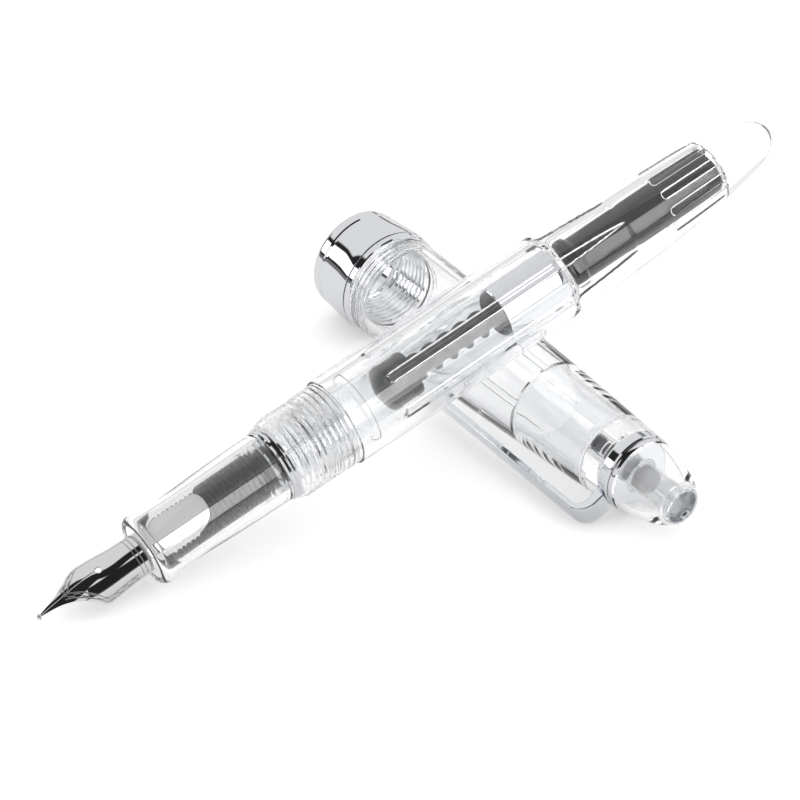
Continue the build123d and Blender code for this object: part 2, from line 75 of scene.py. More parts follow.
KNOB_STATION = 84.0
MOUTH_STATION = 22.0
PEN_TOP = (-0.00308, -0.40413, 0.9147)
knob = joint("knob_turn")
pen = Axis(knob["pos_m"], knob["axis"], KNOB_STATION, PEN_TOP)
cap_along = -Vector(mount("cap_mouth")["axis"])
cap = Axis(mount("cap_mouth")["pos_m"], cap_along, MOUTH_STATION, -Vector(mount("pocket_clip")["axis"]))


# ---------------------------------------------------------------- curves and meshes
def through(points, count=40, start=None, end=None):
    """A smooth curve through (station, radius) points, as a cubic spline by chord length."""
    p = np.array(points, float)
    t = np.concatenate(([0], np.cumsum(np.hypot(*np.diff(p, axis=0).T))))
    h = np.diff(t)
    n = len(p)
    a = np.zeros((n, n))
    b = np.zeros((n, 2))
    for i in range(1, n - 1):
        a[i, i - 1], a[i, i], a[i, i + 1] = h[i - 1], 2 * (h[i - 1] + h[i]), h[i]
        b[i] = 6 * ((p[i + 1] - p[i]) / h[i] - (p[i] - p[i - 1]) / h[i - 1])
    a[0, 0] = a[-1, -1] = 1
    if start is not None:
        a[0, 0], a[0, 1] = 2 * h[0], h[0]
        b[0] = 6 * ((p[1] - p[0]) / h[0] - np.array(start) / np.hypot(*start))
    if end is not None:
        a[-1, -1], a[-1, -2] = 2 * h[-1], h[-1]
        b[-1] = 6 * (np.array(end) / np.hypot(*end) - (p[-1] - p[-2]) / h[-1])
    m = np.linalg.solve(a, b)
    out = []
    for q in np.linspace(0, t[-1], count):
        i = min(int(np.searchsorted(t, q, side="right")) - 1, n - 2)
        u, v = t[i + 1] - q, q - t[i]
        bend = (m[i] * u**3 + m[i + 1] * v**3) / (6 * h[i])
        before = (p[i] / h[i] - m[i] * h[i] / 6) * u
        after = (p[i + 1] / h[i] - m[i + 1] * h[i] / 6) * v
        out.append(tuple(bend + before + after))
    return out


def arc(centre, radius, start, end, count=9):
    """Points of an arc in the (station, radius) plane, angles in degrees."""
    return [(centre[0] + radius * math.cos(math.radians(t)), centre[1] + radius * math.sin(math.radians(t)))
            for t in np.linspace(start, end, count)]


def dense(points, step):
    """The same outline with no gap longer than step."""
    out = [points[0]]
    for a, b in zip(points, points[1:]):
        n = max(1, int(math.ceil(math.hypot(b[0] - a[0], b[1] - a[1]) / step)))
        out += [(a[0] + (b[0] - a[0]) * i / n, a[1] + (b[1] - a[1]) * i / n) for i in range(1, n + 1)]
    return out


def ease(low, high, value):
    t = np.clip((value - low) / (high - low), 0, 1)
    return t * t * (3 - 2 * t)


def thread(first, last, pitch, height):
    """Height of a right-handed thread ridge, fading in and out at its ends."""
    def shape(s, r, angle):
        turn = (s / pitch + angle / (2 * math.pi)) % 1.0
        ridge = ease(0.08, 0.36, turn) * (1 - ease(0.62, 0.9, turn))
        fade = ease(first, first + 0.5 * pitch, s) * (1 - ease(last - 0.5 * pitch, last, s))
        return height * ridge * fade
    return shape


def ribs(count, phase, first, last, width, height, fade=0.0, edge=0.16):
    """Height of ribs along a bore, with round front ends. fade narrows them to a point over that length."""
    def shape(s, r, angle):
        step = 2 * math.pi / count
        off = (angle - math.radians(phase) + step / 2) % step - step / 2
        half = np.full_like(s, width / 2)
        if fade:
            half = half * np.sqrt(np.clip((last - s) / fade, 0.0, 1.0))
        ahead = np.maximum(0, first + width / 2 - s)
        away = np.hypot(off * r, ahead)
        rib = 1 - ease(half - edge, half + 0.02, away)
        return -height * rib * (s < last)
    return shape


def add_mesh(name, verts, faces, sharp=32.0):
    mesh = bpy.data.meshes.new(name)
    mesh.from_pydata([tuple(v) for v in verts], [], faces)
    mesh.validate()
    mesh.update()
    mesh.shade_smooth()
    mesh.set_sharp_from_angle(angle=math.radians(sharp))
    obj = bpy.data.objects.new(name, mesh)
    bpy.context.scene.collection.objects.link(obj)
    return obj


def lathe(name, axis, outline, segments=SEGMENTS, sharp=32.0):
    """Turns a closed outline about an axis. outline is a list of (points, step, shape) runs."""
    s, r, shapes = [], [], []
    for points, step, shape in outline:
        run = dense(points, step)
        for q in run:
            if s and math.hypot(s[-1] - q[0], r[-1] - q[1]) < 1e-6:
                if shape is not None:
                    shapes[-1] = shape
                continue
            s.append(q[0])
            r.append(q[1])
            shapes.append(shape)
    if math.hypot(s[0] - s[-1], r[0] - r[-1]) < 1e-6:
        s, r, shapes = s[:-1], r[:-1], shapes[:-1]
    s, r = np.array(s), np.array(r)
    n = len(s)
    angles = np.arange(segments) * 2 * math.pi / segments
    ss = np.repeat(s[:, None], segments, 1)
    rr = np.repeat(r[:, None], segments, 1)
    aa = np.repeat(angles[None, :], n, 0)
    for shape in dict.fromkeys(x for x in shapes if x is not None):
        rows = np.array([i for i in range(n) if shapes[i] is shape])
        rr[rows] = rr[rows] + shape(ss[rows], rr[rows], aa[rows])
    pole = r < 1e-6
    index = np.zeros((n, segments), int)
    verts = []
    count = 0
    grid = axis.grid(ss, rr, aa)
    for i in range(n):
        if pole[i]:
            verts.append(grid[i, :1])
            index[i] = count
            count += 1
        else:
            verts.append(grid[i])
            index[i] = count + np.arange(segments)
            count += segments
    faces = []
    for i in range(n):
        k = (i + 1) % n
        if pole[i] and pole[k]:
            continue
        a, b = index[i], index[k]
        a2, b2 = np.roll(a, -1), np.roll(b, -1)
        if pole[i]:
            faces += np.stack([a, b2, b], 1).tolist()
        elif pole[k]:
            faces += np.stack([a, a2, b], 1).tolist()
        else:
            faces += np.stack([a, a2, b2, b], 1).tolist()
    return add_mesh(name, np.concatenate(verts), faces, sharp)


def fit(obj, node, body, material):
    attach(obj, body)
    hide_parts(node)
    obj.data.materials.clear()
    obj.data.materials.append(material)


# ---------------------------------------------------------------- materials
def new_material(name):
    mat = bpy.data.materials.new(name)
    mat.use_nodes = True
    tree = mat.node_tree
    for n in list(tree.nodes):
        tree.nodes.remove(n)
    out = tree.nodes.new("ShaderNodeOutputMaterial")
    return mat, tree, out


def principled(tree, colour, rough, metallic=0.0, **values):
    node = tree.nodes.new("ShaderNodeBsdfPrincipled")
    node.inputs["Base Color"].default_value = (*colour, 1)
    node.inputs["Roughness"].default_value = rough
    node.inputs["Metallic"].default_value = metallic
    for key, value in values.items():
        node.inputs[key.replace("_", " ")].default_value = value
    return node


def add_noise(tree, scale, detail=3.0):
    coords = tree.nodes.new("ShaderNodeTexCoord")
    noise = tree.nodes.new("ShaderNodeTexNoise")
    noise.inputs["Scale"].default_value = scale
    noise.inputs["Detail"].default_value = detail
    tree.links.new(coords.outputs["Object"], noise.inputs["Vector"])
    return noise


def add_range(tree, source, low, high):
    node = tree.nodes.new("ShaderNodeMapRange")
    node.inputs["To Min"].default_value = low
    node.inputs["To Max"].default_value = high
    tree.links.new(source, node.inputs["Value"])
    return node.outputs["Result"]


def add_bump(tree, source, strength, distance, target):
    bump = tree.nodes.new("ShaderNodeBump")
    bump.inputs["Strength"].default_value = strength
    bump.inputs["Distance"].default_value = distance
    tree.links.new(source, bump.inputs["Height"])
    tree.links.new(bump.outputs["Normal"], target)


def clear_material(name, tint, rough=0.0, ior=1.49, ripple=0.003):
    """Clear moulded acrylic. Lamps shine through it, so it casts only a pale shadow."""
    mat, tree, out = new_material(name)
    glass = principled(tree, tint, rough, Transmission_Weight=1.0, IOR=ior)
    noise = add_noise(tree, 260.0, 2.0)
    tree.links.new(add_range(tree, noise.outputs["Fac"], rough, rough + 0.004), glass.inputs["Roughness"])
    add_bump(tree, noise.outputs["Fac"], ripple, 0.0002, glass.inputs["Normal"])
    through_it = tree.nodes.new("ShaderNodeBsdfTransparent")
    through_it.inputs["Color"].default_value = (0.97, 0.975, 0.98, 1)
    path = tree.nodes.new("ShaderNodeLightPath")
    mix = tree.nodes.new("ShaderNodeMixShader")
    tree.links.new(path.outputs["Is Shadow Ray"], mix.inputs["Fac"])
    tree.links.new(glass.outputs["BSDF"], mix.inputs[1])
    tree.links.new(through_it.outputs["BSDF"], mix.inputs[2])
    tree.links.new(mix.outputs["Shader"], out.inputs["Surface"])
    return mat


def metal_material(name, colour, rough, scratch=0.03, scale=900.0):
    mat, tree, out = new_material(name)
    metal = principled(tree, colour, rough, 1.0)
    noise = add_noise(tree, scale, 4.0)
    wear = add_range(tree, noise.outputs["Fac"], rough * 0.7, rough * 1.4)
    tree.links.new(wear, metal.inputs["Roughness"])
    add_bump(tree, noise.outputs["Fac"], scratch, 0.0001, metal.inputs["Normal"])
    tree.links.new(metal.outputs["BSDF"], out.inputs["Surface"])
    return mat


def plastic_material(name, colour, rough, grain=0.1, coat=0.0, shine=0.5):
    mat, tree, out = new_material(name)
    body = principled(tree, colour, rough, Coat_Weight=coat, Coat_Roughness=0.08, Specular_IOR_Level=shine)
    noise = add_noise(tree, 1400.0, 3.0)
    wear = add_range(tree, noise.outputs["Fac"], rough * 0.8, rough * 1.25)
    tree.links.new(wear, body.inputs["Roughness"])
    add_bump(tree, noise.outputs["Fac"], grain, 0.0001, body.inputs["Normal"])
    tree.links.new(body.outputs["BSDF"], out.inputs["Surface"])
    return mat


clear = clear_material("clear_acrylic", (0.966, 0.969, 0.973))
tube_clear = clear_material("clear_converter", (0.95, 0.955, 0.96), rough=0.03, ripple=0.004)


def milky_material(name, colour, rough, share):
    """Cloudy acrylic: part of the light passes straight through, the rest lights its surface."""
    mat, tree, out = new_material(name)
    body = principled(tree, colour, rough, Specular_IOR_Level=0.5)
    noise = add_noise(tree, 500.0, 2.0)
    wear = add_range(tree, noise.outputs["Fac"], rough * 0.8, rough * 1.2)
    tree.links.new(wear, body.inputs["Roughness"])
    add_bump(tree, noise.outputs["Fac"], 0.02, 0.0001, body.inputs["Normal"])
    through_it = tree.nodes.new("ShaderNodeBsdfTransparent")
    mix = tree.nodes.new("ShaderNodeMixShader")
    tree.links.new(add_range(tree, noise.outputs["Fac"], share - 0.04, share + 0.04), mix.inputs["Fac"])
    tree.links.new(through_it.outputs["BSDF"], mix.inputs[1])
    tree.links.new(body.outputs["BSDF"], mix.inputs[2])
    tree.links.new(mix.outputs["Shader"], out.inputs["Surface"])
    return mat


milky = milky_material("clear_milky", (0.95, 0.95, 0.955), 0.25, 0.3)
socket_grey = metal_material("nose_socket", (0.9, 0.91, 0.92), 0.16)
steel = metal_material("polished_steel", (0.82, 0.83, 0.85), 0.045)
dark_steel = metal_material("dark_steel", (0.14, 0.14, 0.15), 0.3)
tipping = metal_material("tipping", (0.6, 0.6, 0.62), 0.22, scratch=0.2, scale=4000.0)
clip_steel = metal_material("clip_steel", (0.84, 0.86, 0.9), 0.05)
feed_black = plastic_material("black_feed", (0.008, 0.008, 0.009), 0.4, grain=0.05, shine=0.15)
black = plastic_material("black_plastic", (0.009, 0.009, 0.011), 0.22, grain=0.02, coat=0.15)


# ---------------------------------------------------------------- the clear pen
# Radii that the clear and steel parts share, in mm.
CAP_THREAD_ROOT, BARREL_BORE, TENON_BORE, TENON_ROOT, GRIP_BORE = 5.8, 5.02, 5.2, 4.55, 3.93
TUBE_R, TUBE_BORE, TUBE_MOUTH = 3.8, 3.45, 1.17
CAP_BORE, BAND_SEAT, INNER_SEAT, SPIGOT_R, SCREW_HOLE, WASHER_HOLE = 6.3, 7.0, 5.75, 2.6, 1.24, 2.62
THREAD_PITCH = 0.85
cap_thread = thread(21.75, 27.05, THREAD_PITCH, 0.22)
tenon_female = thread(24.4, 31.4, THREAD_PITCH, -0.16)
front_ribs = ribs(6, 18.0, 38.6, 80.0, 1.4, 0.3, fade=12.0)
tail_ribs = ribs(10, 18.4, 87.0, 97.5, 1.25, 0.28)

barrel_side = [(30.9, 6.4), (52, 6.53), (72, 6.34), (89, 5.62), (97.2, 4.75), (103, 3.82), (106.9, 2.5),
               (108.5, 0)]
barrel_outer = through(barrel_side, 90, (1, 0.015), (0, -1))
bore_neck = through([(70.0, 4.2), (69.0, 4.4), (68.3, 4.85), (68.0, 5.0)], 12)
barrel = lathe("barrel_clear", pen, [
    ([(21.35, 5.01), (21.35, 5.62), (21.55, CAP_THREAD_ROOT)], 0.1, None),
    ([(21.75, CAP_THREAD_ROOT), (27.1, CAP_THREAD_ROOT)], 0.07, cap_thread),
    ([(27.2, 5.82), (27.4, 6.06)] + arc((30.2, 5.9), 0.2, 90, 60, 3)
     + [(30.8, 6.16), (30.8, 6.3), (30.9, 6.4)], 1.0, None),
    (barrel_outer, 5.0, None),
    ([(108.5, 0), (97.4, 0), (97.4, 3.3), (97.1, 3.6)], 0.5, None),
    ([(97.0, 3.66), (86.5, 3.72)], 0.12, tail_ribs),
    ([(86.5, 3.72), (80.2, 3.78)], 1.0, None),
    ([(80.1, 3.8), (70.0, 4.2)] + bore_neck + [(38.0, BARREL_BORE)], 0.35, front_ribs),
    ([(37.9, BARREL_BORE), (34.2, BARREL_BORE), (34.2, TENON_BORE), (31.4, TENON_BORE)], 1.0, None),
    ([(31.3, TENON_BORE), (24.4, TENON_BORE)], 0.07, tenon_female),
    ([(24.3, BARREL_BORE), (21.35, 5.01)], 1.0, None),
], segments=480)
fit(barrel, "barrel", "pen", clear)

tenon_male = thread(24.3, 30.8, THREAD_PITCH, 0.36)
grip_outer = through([(0, 5.1), (1.4, 4.95), (3.2, 4.78), (9, 4.86), (20.0, 5.15)], 40, (1, 0), (1, 0.025))
grip = lathe("grip_clear", pen, [
    ([(0.3, GRIP_BORE), (-0.7, 4.1)] + arc((0.0, 4.1), 1.0, 170, 90, 12), 1.0, None),
    (grip_outer, 5.0, None),
    ([(20.0, TENON_ROOT), (24.2, TENON_ROOT)], 1.0, None),
    ([(24.3, TENON_ROOT), (30.9, TENON_ROOT)], 0.07, tenon_male),
    ([(31.0, TENON_ROOT), (33.4, TENON_ROOT), (33.8, 4.25), (33.8, 3.95), (24.8, 3.95),
      (24.8, 1.6), (24.6, 1.6), (24.6, GRIP_BORE), (0.3, GRIP_BORE)], 2.0, None),
])
fit(grip, "grip_section", "section", clear)

housing = lathe("nib_housing_clear", pen, [
    ([(0.4, 3.62), (0.4, 3.78), (0.6, 3.88), (16.6, 3.86)], 2.0, None),
    ([(16.7, 3.78), (20.9, 3.78)], 0.07, thread(16.8, 20.9, 0.82, 0.09)),
    ([(21.0, 3.86), (24.5, 3.86), (24.5, 1.45), (24.8, 1.25), (25.4, 1.15), (30.2, 1.05), (30.5, 0.75),
      (30.5, 0.4), (20.7, 0.4), (20.7, 3.05), (19.4, 3.05), (19.0, 3.47), (0.7, 3.47),
      (0.4, 3.62)], 2.0, None),
])
fit(housing, "nib_housing", "section", clear)

tube = lathe("converter_tube_clear", pen, [
    ([(25.0, 1.35), (25.0, 3.3), (25.8, TUBE_R), (58.18, TUBE_R), (58.18, 3.6), (61.2, 3.6),
      (61.2, TUBE_BORE), (30.8, TUBE_BORE), (30.6, TUBE_MOUTH), (25.4, TUBE_MOUTH),
      (25.0, 1.35)], 2.0, None),
])
fit(tube, "converter_tube", "section", tube_clear)

# ---------------------------------------------------------------- the clear cap
cap_outer = through([(9.1, 7.88), (23.0, 7.46), (37.4, 6.99), (50.0, 6.39), (61.6, 5.7)], 50)
mouth_thread = thread(1.9, 12.0, THREAD_PITCH, 0.26)
cap_ribs = ribs(6, 10.0, 36.0, 44.3, 1.1, 0.2)
cap_body = lathe("cap_body_clear", cap, [
    ([(1.9, CAP_BORE), (1.9, BAND_SEAT), (9.0, BAND_SEAT), (9.0, 7.84)], 1.0, None),
    (cap_outer, 5.0, None),
    ([(61.6, SPIGOT_R), (59.6, SPIGOT_R), (59.6, SCREW_HOLE), (58.2, SCREW_HOLE), (58.2, 5.4),
      (57.8, INNER_SEAT), (44.6, INNER_SEAT)], 2.0, None),
    (arc((44.6, 6.05), 0.3, 270, 180, 6), 0.5, None),
    ([(44.2, 6.28), (35.5, CAP_BORE)], 0.12, cap_ribs),
    ([(35.4, CAP_BORE), (12.2, CAP_BORE)], 2.0, None),
    ([(12.1, CAP_BORE), (1.92, CAP_BORE)], 0.07, mouth_thread),
    ([(1.9, CAP_BORE), (1.9, 6.31)], 1.0, None),
], segments=480)
fit(cap_body, "cap_body", "cap", clear)

inner_cap = lathe("inner_cap_clear", cap, [
    ([(44.3, 5.4), (44.3, 5.68), (58.1, 5.68), (58.1, 0), (57.2, 0), (57.2, 4.6), (56.6, 5.2), (44.5, 5.2),
      (44.3, 5.4)], 2.0, None),
])
fit(inner_cap, "inner_cap", "cap", clear)


def hexagon(first, last):
    """Draws a round hole in to six flat facets between two stations."""
    def shape(s, r, angle):
        off = angle % (math.pi / 3) - math.pi / 6
        return r * (0.9 / np.cos(off) - 1) * ease(first, first + 0.7, last - s + first)
    return shape


finial_side = [(64.23, 5.45), (65.9, 5.24), (67.5, 4.85), (70.0, 4.08), (71.3, 3.4), (72.4, 2.6)]
finial_outer = through(finial_side, 40)
finial = lathe("finial_clear", cap, [
    (finial_outer, 5.0, None),
    ([(72.4, 2.6), (72.42, 2.56), (72.3, 2.53), (70.9, 2.53)] + arc((70.8, 2.72), 0.18, 270, 440, 7)
     + [(68.5, 3.62), (66.0, 4.32), (64.23, 4.6), (64.23, 5.45)], 1.0, None),
])
fit(finial, "finial_shell", "cap", clear)

post = lathe("finial_post_milky", cap, [
    ([(64.25, 1.95), (71.0, 2.48), (72.3, 2.5), (72.4, 2.44), (72.3, 2.4), (71.0, 2.38), (68.5, 2.18),
      (66.0, 1.98), (66.0, 1.83), (64.25, 1.83), (64.25, 1.95)], 1.0, None),
])
fit(post, "finial_shell", "cap", milky)

socket = lathe("finial_socket_grey", cap, [
    ([(72.3, 2.36), (72.32, 2.33)], 1.0, None),
    ([(72.2, 2.3), (68.8, 2.15)], 0.2, hexagon(68.7, 72.2)),
    ([(68.7, 0), (68.6, 0), (68.6, 2.14), (72.3, 2.36)], 1.0, None),
])
fit(socket, "finial_shell", "cap", socket_grey)

stem = lathe("finial_stem_clear", cap, [
    ([(59.7, SCREW_HOLE), (59.7, 2.5), (64.2, 2.5), (64.2, SCREW_HOLE), (59.7, SCREW_HOLE)], 1.0, None),
])
fit(stem, "finial_stem", "cap", clear)


# ---------------------------------------------------------------- turned metal and black pieces
def turned(name, axis, node, body, material, points):
    fit(lathe(name, axis, [(points, 1.5, None)]), node, body, material)


band_outer = through([(2.2, 7.87), (4.6, 8.08), (7.4, 8.2), (7.8, 8.18)], 16)
turned("cap_band_steel", cap, "cap_band", "cap", steel,
       [(1.88, BAND_SEAT), (1.88, CAP_BORE), (-0.1, CAP_BORE)]
       + arc((0.5, 7.05), 1.0, 228, 180, 6) + arc((0.5, 6.75), 1.0, 180, 90, 10)
       + [(1.5, 7.8), (1.7, 7.65), (2.0, 7.65)] + band_outer + [(7.8, BAND_SEAT), (1.88, BAND_SEAT)])
turned("cap_band_ring_steel", cap, "cap_band_ring", "cap", steel,
       [(7.9, 7.02), (7.9, 8.0), (8.05, 8.14), (8.8, 8.1), (8.98, 7.95), (8.98, 7.02), (7.9, 7.02)])
turned("clip_ring_steel", cap, "clip_ring", "cap", steel,
       [(61.65, WASHER_HOLE), (61.65, 5.55), (61.8, 5.7), (63.1, 5.7), (63.3, 5.5), (63.3, WASHER_HOLE),
        (61.65, WASHER_HOLE)])
turned("finial_washer_steel", cap, "finial_washer", "cap", steel,
       [(63.33, WASHER_HOLE), (63.33, 5.4), (63.65, 5.58), (63.95, 5.54), (64.2, 5.4), (64.2, WASHER_HOLE),
        (63.33, WASHER_HOLE)])
turned("trim_ring_steel", pen, "trim_ring", "ring", steel,
       [(20.05, 4.65), (20.05, 5.2), (20.25, 5.4), (20.6, 5.45), (20.75, 5.33), (20.9, 5.5), (21.15, 5.5),
        (21.3, 5.3), (21.3, 4.65), (20.05, 4.65)])
turned("converter_collar_steel", pen, "converter_collar", "section", steel,
       [(58.2, 3.62), (58.2, 3.78), (58.32, 3.88), (69.28, 3.88), (69.4, 3.78), (69.4, 3.45), (61.3, 3.45),
        (61.3, 3.62), (58.2, 3.62)])
turned("piston_black", pen, "piston_head", "piston", black,
       [(37.9, 0), (37.9, 1.0), (38.8, 3.24), (39.1, 3.24), (39.1, 3.14), (39.6, 3.14), (39.6, 3.24),
        (41.7, 3.24), (41.7, 2.6), (42.1, 2.6), (42.1, 3.14), (42.95, 3.14), (42.95, 3.24), (43.2, 3.24),
        (43.2, 0), (37.9, 0)])
turned("converter_neck_black", pen, "converter_neck", "section", black,
       [(69.45, 2.3), (69.45, 3.55), (70.2, 3.55), (70.35, 3.82), (70.75, 3.82), (70.9, 3.6), (71.1, 3.6),
        (71.25, 3.82), (71.65, 3.8), (72.1, 3.45), (72.3, 3.35), (72.3, 2.3), (69.45, 2.3)])

# ---------------------------------------------------------------- nib
NIB_TIP, NIB_TAIL, BREATHER, BREATHER_R, SLIT_HALF = -16.8, 9.2, -7.6, 0.45, 0.05
TAIL_ROUND_START, TAIL_ROUND_LENGTH, TAIL_ROUND_WRAP = 6.2, 3.0, 66.0
crest_line = [(-16.8, 1.5), (-12.5, 2.68), (-10.2, 3.2), (-8.6, 3.28), (-5, 3.0), (-1, 2.87), (9.2, 2.87)]
crest = np.array(through(crest_line, 160))
# How far each side of the nib wraps round, in degrees: point, flared shoulders, body and round tail.
nib_point = [(-16.8, 6.0), (-15.4, 13.0), (-14.0, 20.5), (-12.5, 32.0), (-11.2, 46.0), (-10.0, 63.0)]
nib_shoulder = [(-9.2, 78.0), (-8.7, 90.0), (-8.2, 96.0), (-7.8, 97.0), (-0.1, 97.0)]
nib_body = [(0.3, 79.0), (TAIL_ROUND_START, 79.0)]
nib_round = [(TAIL_ROUND_START + TAIL_ROUND_LENGTH * math.sin(t), TAIL_ROUND_WRAP * math.cos(t) + 1.0)
             for t in np.radians(np.linspace(5, 90, 18))]
wrap = np.array(nib_point + nib_shoulder + nib_body + nib_round)


def nib_mesh():
    stations = np.unique(np.concatenate([np.linspace(NIB_TIP, -7.0, 150), np.linspace(-7.0, 6.1, 60),
                                         np.linspace(6.1, NIB_TAIL, 40),
                                         BREATHER + BREATHER_R * np.cos(np.linspace(0, math.pi, 25))]))
    radius = np.interp(stations, crest[:, 0], crest[:, 1])
    outer = np.radians(np.interp(stations, wrap[:, 0], wrap[:, 1]))
    inner = np.where(stations < BREATHER, SLIT_HALF, 0.0)
    near = np.abs(stations - BREATHER) <= BREATHER_R
    hole = np.sqrt(np.maximum(0, BREATHER_R**2 - (stations - BREATHER) ** 2))
    inner = np.where(near, np.maximum(inner, hole), inner)
    inner = inner / radius
    columns = 40
    verts, faces, inset = [], [], []
    for side in (1, -1):
        base = len(verts)
        for i, at in enumerate(stations):
            for j in range(columns + 1):
                angle = inner[i] + (outer[i] - inner[i]) * j / columns
                verts.append(pen.grid(np.array(at), np.array(radius[i]), np.array(side * angle)))
                inset.append((outer[i] - angle) * radius[i])
        for i in range(len(stations) - 1):
            for j in range(columns):
                a = base + i * (columns + 1) + j
                quad = (a, a + 1, a + columns + 2, a + columns + 1)
                faces.append(quad if side == 1 else quad[::-1])
    mesh = bpy.data.meshes.new("nib_sheet")
    mesh.from_pydata([tuple(v) for v in verts], [], faces)
    for key, values in (("inset", inset), ("station", np.repeat(stations, columns + 1).tolist() * 2)):
        layer = mesh.attributes.new(key, "FLOAT", "POINT")
        layer.data.foreach_set("value", values)
    obj = bpy.data.objects.new("nib_sheet", mesh)
    bpy.context.scene.collection.objects.link(obj)
    weld = obj.modifiers.new("weld", "WELD")
    weld.merge_threshold = 0.000004
    thick = obj.modifiers.new("thick", "SOLIDIFY")
    thick.thickness = 0.0003
    thick.offset = -1.0
    soft = obj.modifiers.new("soft", "BEVEL")
    soft.width = 0.00004
    soft.segments = 2
    soft.angle_limit = math.radians(50)
    graph = bpy.context.evaluated_depsgraph_get()
    done = bpy.data.meshes.new_from_object(obj.evaluated_get(graph))
    obj.modifiers.clear()
    obj.data = done
    done.shade_smooth()
    done.set_sharp_from_angle(angle=math.radians(40))
    return obj


def math_node(tree, operation, a, b=None, c=None):
    node = tree.nodes.new("ShaderNodeMath")
    node.operation = operation
    for i, value in enumerate((a, b, c)):
        if value is None:
            continue
        if isinstance(value, (int, float)):
            node.inputs[i].default_value = value
        else:
            tree.links.new(value, node.inputs[i])
    return node.outputs[0]


def engraved_nib():
    """Bright steel with an engraved border: two lines along each edge and a stepped line between them."""
    mat, tree, out = new_material("nib_engraved")
    metal = principled(tree, (0.78, 0.775, 0.77), 0.06, 1.0)
    inset = tree.nodes.new("ShaderNodeAttribute")
    inset.attribute_name = "inset"
    at = tree.nodes.new("ShaderNodeAttribute")
    at.attribute_name = "station"

    def line(source, centre, half):
        gap = math_node(tree, "ABSOLUTE", math_node(tree, "SUBTRACT", source, centre))
        node = tree.nodes.new("ShaderNodeMapRange")
        node.interpolation_type = "SMOOTHSTEP"
        tree.links.new(gap, node.inputs["Value"])
        node.inputs["From Min"].default_value = half * 0.6
        node.inputs["From Max"].default_value = half * 1.4
        node.inputs["To Min"].default_value = 1.0
        node.inputs["To Max"].default_value = 0.0
        return node.outputs["Result"]

    wave = math_node(tree, "SINE", math_node(tree, "MULTIPLY", at.outputs["Fac"], 2 * math.pi / 1.5))
    steps = math_node(tree, "MULTIPLY", math_node(tree, "MAXIMUM", math_node(tree, "MINIMUM",
                      math_node(tree, "MULTIPLY", wave, 5.0), 1.0), -1.0), 0.17)
    stepped = math_node(tree, "SUBTRACT", inset.outputs["Fac"], steps)
    marks = line(inset.outputs["Fac"], 0.55, 0.08)
    marks = math_node(tree, "MAXIMUM", marks, line(inset.outputs["Fac"], 1.35, 0.08))
    marks = math_node(tree, "MAXIMUM", marks, line(stepped, 0.95, 0.08))
    ahead = math_node(tree, "GREATER_THAN", at.outputs["Fac"], -13.2)
    behind = math_node(tree, "LESS_THAN", at.outputs["Fac"], -3.4)
    marks = math_node(tree, "MULTIPLY", marks, math_node(tree, "MULTIPLY", ahead, behind))
    bar = math_node(tree, "MULTIPLY", line(at.outputs["Fac"], -2.6, 0.05),
                    math_node(tree, "GREATER_THAN", inset.outputs["Fac"], 0.5))
    bar = math_node(tree, "MAXIMUM", bar, math_node(tree, "MULTIPLY", line(at.outputs["Fac"], -2.0, 0.05),
                    math_node(tree, "GREATER_THAN", inset.outputs["Fac"], 0.5)))
    marks = math_node(tree, "MAXIMUM", marks, bar)
    noise = add_noise(tree, 2500.0, 3.0)
    tree.links.new(math_node(tree, "ADD", math_node(tree, "MULTIPLY", noise.outputs["Fac"], 0.05),
                             math_node(tree, "MULTIPLY", marks, 0.6)), metal.inputs["Roughness"])
    mix = tree.nodes.new("ShaderNodeMix")
    mix.data_type = "RGBA"
    mix.inputs["A"].default_value = (0.78, 0.775, 0.77, 1)
    mix.inputs["B"].default_value = (0.36, 0.355, 0.35, 1)
    tree.links.new(marks, mix.inputs["Factor"])
    tree.links.new(mix.outputs["Result"], metal.inputs["Base Color"])
    add_bump(tree, math_node(tree, "SUBTRACT", 1.0, marks), 0.35, 0.00004, metal.inputs["Normal"])
    tree.links.new(metal.outputs["BSDF"], out.inputs["Surface"])
    return mat


fit(nib_mesh(), "nib", "nib_unit", engraved_nib())

cad_looks = {
    "clip_arm": clip_steel, "finial_screw": dark_steel, "nib_tip_left": tipping,
    "nib_tip_right": tipping, "feed": feed_black, "piston_seal_front": black, "piston_seal_rear": black,
    "piston_rod": black, "piston_nut": black, "converter_knob": black,
}
for node, look in cad_looks.items():
    cad = frame["nodes"][node]
    cad.data.materials.clear()
    cad.data.materials.append(look)

# ---------------------------------------------------------------- floor, light and camera
FLOOR_HALF = 1.5
floor_mesh = bpy.data.meshes.new("floor")
floor_corners = [(x * FLOOR_HALF, y * FLOOR_HALF, 0) for x, y in ((-1, -1), (1, -1), (1, 1), (-1, 1))]
floor_mesh.from_pydata(floor_corners, [], [(0, 1, 2, 3)])
floor = bpy.data.objects.new("floor", floor_mesh)
bpy.context.scene.collection.objects.link(floor)
floor_mat, tree, out = new_material("floor_white")
paper = principled(tree, (0.86, 0.86, 0.86), 0.7)
paper.inputs["Specular IOR Level"].default_value = 0.0
paper.inputs["Emission Color"].default_value = (1, 1, 1, 1)
paper.inputs["Emission Strength"].default_value = 0.45
tree.links.new(paper.outputs["BSDF"], out.inputs["Surface"])
floor_mesh.materials.append(floor_mat)

# The studio: a pale tent, an unlit gap that runs up one side and over, and two bright windows.
scene = bpy.context.scene
world = bpy.data.worlds.new("studio")
scene.world = world
world.use_nodes = True
sky = world.node_tree
back = sky.nodes["Background"]
TENT, BACKDROP, GAP, HORIZON, HORIZON_IN_GLASS = 0.82, 0.9, 0.02, 0.2, 0.6
LEFT_WINDOW, RIGHT_WINDOW = 2.5, 4.5
heading = sky.nodes.new("ShaderNodeTexCoord").outputs["Generated"]


